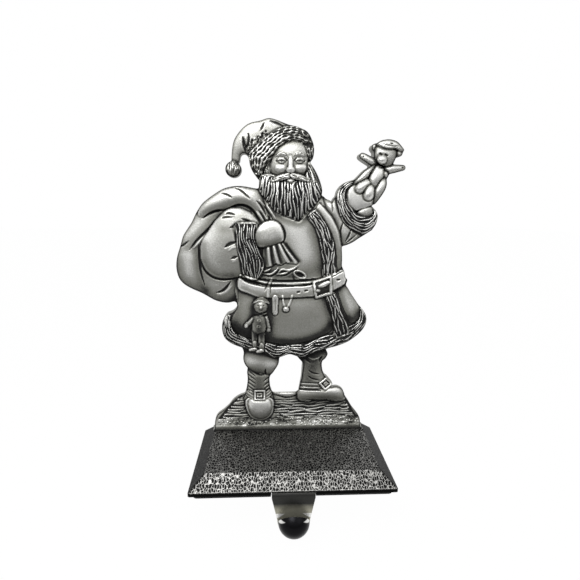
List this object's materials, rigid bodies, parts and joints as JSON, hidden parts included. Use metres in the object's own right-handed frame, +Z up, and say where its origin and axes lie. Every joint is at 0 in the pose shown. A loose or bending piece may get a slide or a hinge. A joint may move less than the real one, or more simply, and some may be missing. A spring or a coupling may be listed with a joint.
{
  "type": "mantel stocking holder",
  "caption": "Mantel stocking holder: cast relief figure of a bearded gift-bringer with a sack on a bevelled weighted base, with a strap hook below the front edge.",
  "frame": {"origin": "centre of the pad's lower face, on the top of the shelf", "axes": "+Z up, -Y towards the front where the hook hangs, +X to the viewer's right"},
  "size_m": [0.1205, 0.0747, 0.1934],
  "materials": {
    "antique_pewter": "satin",
    "dark_casting": "satin",
    "dark_strap": "satin",
    "black_pad": "matte",
    "screw_steel": "satin"
  },
  "bodies": {
    "root": {"figure": "antique_pewter", "base": "dark_casting", "hook": "dark_strap", "pad": "black_pad", "figure_screws": "screw_steel", "hook_screws": "screw_steel"}
  },
  "joints": []
}
